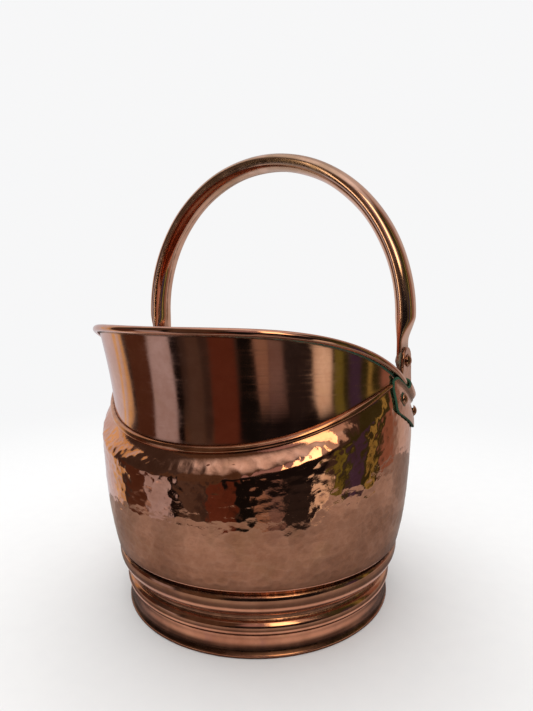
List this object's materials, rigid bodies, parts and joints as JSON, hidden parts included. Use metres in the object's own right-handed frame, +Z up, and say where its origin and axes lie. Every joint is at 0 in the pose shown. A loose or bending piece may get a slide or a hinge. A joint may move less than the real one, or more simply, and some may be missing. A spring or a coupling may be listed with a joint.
{
  "type": "ice bucket",
  "caption": "Round footed copper bucket with a hammered belly, a tall pouring lip in front, a low rear lip, riveted ears and an arched tube handle that swings.",
  "frame": {"origin": "centre of the foot's resting plane, which is also the bottom centre of the bounding box with the handle upright", "axes": "+Z up; -Y towards the tall pouring lip, +Y towards the low rear lip; +X towards the right ear, right being the viewer's right when facing the front; the handle's hinge axis is parallel to X"},
  "size_m": [0.297, 0.3014, 0.4145],
  "materials": {
    "hammered_copper": "polished, hammered all over",
    "dull_copper": "dull, oxidised",
    "foot_copper": "polished",
    "polished_copper": "mirror polished with fine brush marks",
    "bead_copper": "polished",
    "ear_copper": "satin, green tarnish at the edges",
    "rivet_copper": "satin",
    "handle_copper": "polished, brown tarnish"
  },
  "bodies": {
    "bucket": {"body_shell": "hammered_copper", "base_plate": "dull_copper", "foot_ring": "foot_copper", "foot_wire": "dull_copper", "front_lip": "polished_copper", "rear_lip": "polished_copper", "rim_wire": "dull_copper", "front_seam_bead": "bead_copper", "rear_seam_bead": "bead_copper", "right_ear": "ear_copper", "left_ear": "ear_copper", "right_ear_rivets": "rivet_copper", "left_ear_rivets": "rivet_copper", "right_pivot_rivet": "rivet_copper", "left_pivot_rivet": "rivet_copper", "right_pivot_washer": "rivet_copper", "left_pivot_washer": "rivet_copper"},
    "handle": {"handle_tube": "handle_copper"}
  },
  "joints": [
    {"name": "handle_swing", "type": "hinge", "parent": "bucket", "child": "handle", "pos_m": [0, 0.0198, 0.2247], "axis": [1, 0, 0], "range_deg": [-112, 60]}
  ]
}
